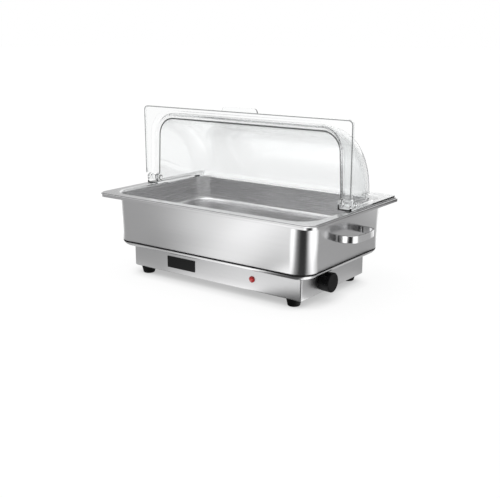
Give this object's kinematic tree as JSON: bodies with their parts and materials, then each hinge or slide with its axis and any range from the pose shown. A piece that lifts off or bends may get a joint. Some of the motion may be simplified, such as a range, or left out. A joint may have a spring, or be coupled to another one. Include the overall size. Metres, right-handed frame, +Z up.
{
  "type": "electric chafing dish",
  "caption": "Countertop electric food warmer: rectangular water pan on a heated base with a knob, lift-out food pan and a clear roll-top cover whose front half rolls back over its rear half.",
  "frame": {"origin": "middle of the footprint on the table, under the feet", "axes": "+Z up; +X to the right along the length, towards the end with the knob; the front is towards -Y"},
  "size_m": [0.5954, 0.355, 0.3725],
  "materials": {
    "housing_steel": "brushed",
    "plain_steel": "plain",
    "fastener_steel": "zinc plated",
    "foot_rubber": "matte",
    "pan_steel": "fine brushed",
    "handle_steel": "polished",
    "spreader_aluminium": "mill",
    "element_sheath": "heat tinted",
    "terminal_brass": "plain",
    "thermostat_moulding": "satin",
    "sensor_copper": "copper",
    "cutout_black": "satin",
    "lens_red": "gloss",
    "lamp_black": "satin",
    "plate_black": "matte",
    "inlet_black": "satin",
    "wire_brown": "satin",
    "wire_blue": "satin",
    "wire_green": "satin",
    "wire_white": "satin",
    "wire_red": "satin",
    "knob_black": "semi gloss",
    "food_pan_steel": "satin",
    "rear_cover_clear": "clear",
    "front_cover_clear": "clear",
    "pin_clear": "clear"
  },
  "bodies": {
    "base": {"base_housing": "housing_steel", "bottom_cover": "plain_steel", "heat_shield": "plain_steel", "element_clamps": "plain_steel", "clamp_spacers": "plain_steel", "bulb_clip": "plain_steel", "lamp_clip": "plain_steel", "bottom_cover_screws": "fastener_steel", "foot_screws": "fastener_steel", "foot_nuts": "fastener_steel", "pan_studs": "fastener_steel", "pan_nuts": "fastener_steel", "clamp_screws": "fastener_steel", "shield_screws": "fastener_steel", "thermostat_nut": "fastener_steel", "inlet_screws": "fastener_steel", "inlet_nuts": "fastener_steel", "foot_front_left": "foot_rubber", "foot_front_right": "foot_rubber", "foot_rear_left": "foot_rubber", "foot_rear_right": "foot_rubber", "water_pan": "pan_steel", "handle_left": "handle_steel", "handle_right": "handle_steel", "heater_plate": "spreader_aluminium", "heating_element": "element_sheath", "element_terminals": "terminal_brass", "inlet_pins": "terminal_brass", "earth_stud": "terminal_brass", "thermostat": "thermostat_moulding", "sensor_bulb": "sensor_copper", "capillary_tube": "sensor_copper", "thermal_cutout": "cutout_black", "lamp_lens": "lens_red", "lamp_body": "lamp_black", "name_plate": "plate_black", "inlet_housing": "inlet_black", "live_wire": "wire_brown", "neutral_wire": "wire_blue", "earth_wire": "wire_green", "heater_wires": "wire_white", "lamp_wires": "wire_red"},
    "knob": {"knob": "knob_black", "thermostat_shaft": "fastener_steel"},
    "food_pan": {"food_pan": "food_pan_steel"},
    "rear_cover": {"rear_cover": "rear_cover_clear", "hinge_pin_left": "pin_clear", "hinge_pin_right": "pin_clear", "hinge_retainers": "pin_clear"},
    "front_cover": {"front_cover": "front_cover_clear"}
  },
  "joints": [
    {"name": "knob_turn", "type": "hinge", "parent": "base", "child": "knob", "pos_m": [0.224, -0.045, 0.041], "axis": [1, 0, 0], "range_deg": [-270, 0]},
    {"name": "food_pan_lift", "type": "slide", "parent": "base", "child": "food_pan", "axis": [0, 0, 1], "range_m": [0, 0.12]},
    {"name": "cover_lift", "type": "slide", "parent": "food_pan", "child": "rear_cover", "axis": [0, 0, 1], "range_m": [0, 0.15]},
    {"name": "cover_roll", "type": "hinge", "parent": "rear_cover", "child": "front_cover", "pos_m": [0, -0.0135, 0.1985], "axis": [1, 0, 0], "range_deg": [0, 90]}
  ]
}
